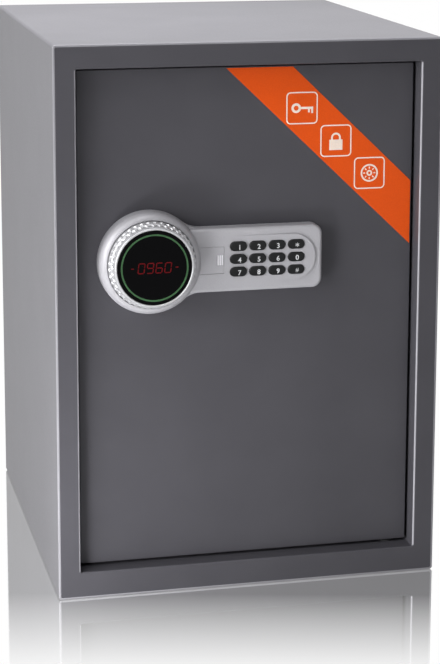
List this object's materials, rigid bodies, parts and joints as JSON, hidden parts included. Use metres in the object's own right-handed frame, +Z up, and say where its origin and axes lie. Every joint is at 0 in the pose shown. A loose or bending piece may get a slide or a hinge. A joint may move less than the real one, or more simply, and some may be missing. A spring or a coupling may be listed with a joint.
{
  "type": "electronic safe",
  "caption": "Steel cabinet safe with a recessed hinged door, a keypad and a turning knob that throws live bolts, a sliding cover over an emergency lock, and an inner shelf.",
  "frame": {"origin": "centre of the cabinet's underside, where it rests on the floor", "axes": "+Z up, -Y out of the door, +X to the hinge side"},
  "size_m": [0.352, 0.401, 0.5],
  "materials": {
    "shell_paint": "grey powder coat, fine texture",
    "front_paint": "graphite grey powder coat, fine texture",
    "inner_paint": "dark grey powder coat",
    "zinc_steel": "zinc-plated pressed steel",
    "bright_steel": "bright ground steel",
    "screw_steel": "zinc-plated screws",
    "nylon": "natural nylon",
    "panel_plastic": "silver-painted moulded plastic, satin",
    "knob_metal": "satin turned aluminium with a fluted rim",
    "lens_black": "smoked black gloss lens",
    "light_guide": "green light guide",
    "key_plastic": "black keys, satin, with plain numbers",
    "hub_plastic": "black moulded plastic",
    "board_green": "green circuit board",
    "mat_rubber": "grey silicone rubber",
    "coil_black": "black coil housing",
    "box_plastic": "black ribbed plastic",
    "battery_wrap": "plain dark battery sleeve with a copper end",
    "button_red": "red push button",
    "band_print": "orange printed film",
    "felt": "dark needle felt"
  },
  "bodies": {
    "cabinet": {"cabinet_wrap": "shell_paint", "back_panel": "shell_paint", "front_frame": "front_paint", "hinge_bushes": "hub_plastic", "floor_mat": "felt", "shelf_rails": "inner_paint", "shelf": "inner_paint"},
    "door": {"door_plate": "front_paint", "hinge_blocks": "inner_paint", "hinge_pins": "bright_steel", "door_pan": "inner_paint", "pan_screws": "screw_steel", "panel_housing": "panel_plastic", "panel_screws": "screw_steel", "keypad_board": "board_green", "key_mat": "mat_rubber", "lock_barrel": "bright_steel", "barrel_nut": "zinc_steel", "spindle_bush": "nylon", "display_hub": "hub_plastic", "hub_nut": "zinc_steel", "display_board": "board_green", "display_lens": "lens_black", "light_ring": "light_guide", "guide_posts": "zinc_steel", "solenoid_bracket": "zinc_steel", "solenoid_body": "coil_black", "battery_case": "box_plastic", "batteries": "battery_wrap", "battery_contacts": "bright_steel", "control_board": "board_green", "reset_switch": "hub_plastic", "door_band": "band_print"},
    "dial": {"knob_ring": "knob_metal", "spindle_sleeve": "zinc_steel", "drive_cam": "zinc_steel"},
    "bolts": {"bolt_carriage": "zinc_steel", "carriage_latch": "zinc_steel", "live_bolts": "bright_steel"},
    "plunger": {"solenoid_plunger": "bright_steel"},
    "lock_cover": {"key_cover": "panel_plastic"},
    "plug": {"lock_plug": "bright_steel", "release_lever": "zinc_steel"},
    "lid": {"battery_lid": "box_plastic"},
    "reset": {"reset_button": "button_red"},
    "key_1_cap": {"key_1": "key_plastic"},
    "key_2_cap": {"key_2": "key_plastic"},
    "key_3_cap": {"key_3": "key_plastic"},
    "key_star_cap": {"key_star": "key_plastic"},
    "key_4_cap": {"key_4": "key_plastic"},
    "key_5_cap": {"key_5": "key_plastic"},
    "key_6_cap": {"key_6": "key_plastic"},
    "key_0_cap": {"key_0": "key_plastic"},
    "key_7_cap": {"key_7": "key_plastic"},
    "key_8_cap": {"key_8": "key_plastic"},
    "key_9_cap": {"key_9": "key_plastic"},
    "key_hash_cap": {"key_hash": "key_plastic"}
  },
  "joints": [
    {"name": "cabinet_door_swing", "type": "hinge", "parent": "cabinet", "child": "door", "pos_m": [0.137, -0.1685, 0.25], "axis": [0, 0, 1], "range_deg": [0, 100]},
    {"name": "dial_turn", "type": "hinge", "parent": "door", "child": "dial", "pos_m": [-0.0906, -0.1765, 0.3048], "axis": [0, -1, 0], "range_deg": [0, 70]},
    {"name": "bolt_throw", "type": "slide", "parent": "door", "child": "bolts", "axis": [-1, 0, 0], "range_m": [0, 0.01835]},
    {"name": "plunger_lift", "type": "slide", "parent": "door", "child": "plunger", "axis": [0, 0, 1], "range_m": [0, 0.005]},
    {"name": "gate_slide", "type": "slide", "parent": "door", "child": "lock_cover", "axis": [-1, 0, 0], "range_m": [0, 0.018]},
    {"name": "lock_plug_turn", "type": "hinge", "parent": "door", "child": "plug", "pos_m": [-0.0343, -0.1765, 0.3048], "axis": [0, 1, 0], "range_deg": [0, 90]},
    {"name": "battery_lid_slide", "type": "slide", "parent": "door", "child": "lid", "axis": [0, 0, 1], "range_m": [0, 0.058]},
    {"name": "reset_press", "type": "slide", "parent": "door", "child": "reset", "axis": [0, -1, 0], "range_m": [0, 0.0015], "stiffness_N_per_m": 600},
    {"name": "key_1_press", "type": "slide", "parent": "door", "child": "key_1_cap", "axis": [0, 1, 0], "range_m": [0, 0.001], "stiffness_N_per_m": 400},
    {"name": "key_2_press", "type": "slide", "parent": "door", "child": "key_2_cap", "axis": [0, 1, 0], "range_m": [0, 0.001], "stiffness_N_per_m": 400},
    {"name": "key_3_press", "type": "slide", "parent": "door", "child": "key_3_cap", "axis": [0, 1, 0], "range_m": [0, 0.001], "stiffness_N_per_m": 400},
    {"name": "key_star_press", "type": "slide", "parent": "door", "child": "key_star_cap", "axis": [0, 1, 0], "range_m": [0, 0.001], "stiffness_N_per_m": 400},
    {"name": "key_4_press", "type": "slide", "parent": "door", "child": "key_4_cap", "axis": [0, 1, 0], "range_m": [0, 0.001], "stiffness_N_per_m": 400},
    {"name": "key_5_press", "type": "slide", "parent": "door", "child": "key_5_cap", "axis": [0, 1, 0], "range_m": [0, 0.001], "stiffness_N_per_m": 400},
    {"name": "key_6_press", "type": "slide", "parent": "door", "child": "key_6_cap", "axis": [0, 1, 0], "range_m": [0, 0.001], "stiffness_N_per_m": 400},
    {"name": "key_0_press", "type": "slide", "parent": "door", "child": "key_0_cap", "axis": [0, 1, 0], "range_m": [0, 0.001], "stiffness_N_per_m": 400},
    {"name": "key_7_press", "type": "slide", "parent": "door", "child": "key_7_cap", "axis": [0, 1, 0], "range_m": [0, 0.001], "stiffness_N_per_m": 400},
    {"name": "key_8_press", "type": "slide", "parent": "door", "child": "key_8_cap", "axis": [0, 1, 0], "range_m": [0, 0.001], "stiffness_N_per_m": 400},
    {"name": "key_9_press", "type": "slide", "parent": "door", "child": "key_9_cap", "axis": [0, 1, 0], "range_m": [0, 0.001], "stiffness_N_per_m": 400},
    {"name": "key_hash_press", "type": "slide", "parent": "door", "child": "key_hash_cap", "axis": [0, 1, 0], "range_m": [0, 0.001], "stiffness_N_per_m": 400}
  ],
  "couplings": [
    {"joint": "dial_turn", "follows": "bolt_throw", "rad_per_m": 66.563}
  ]
}
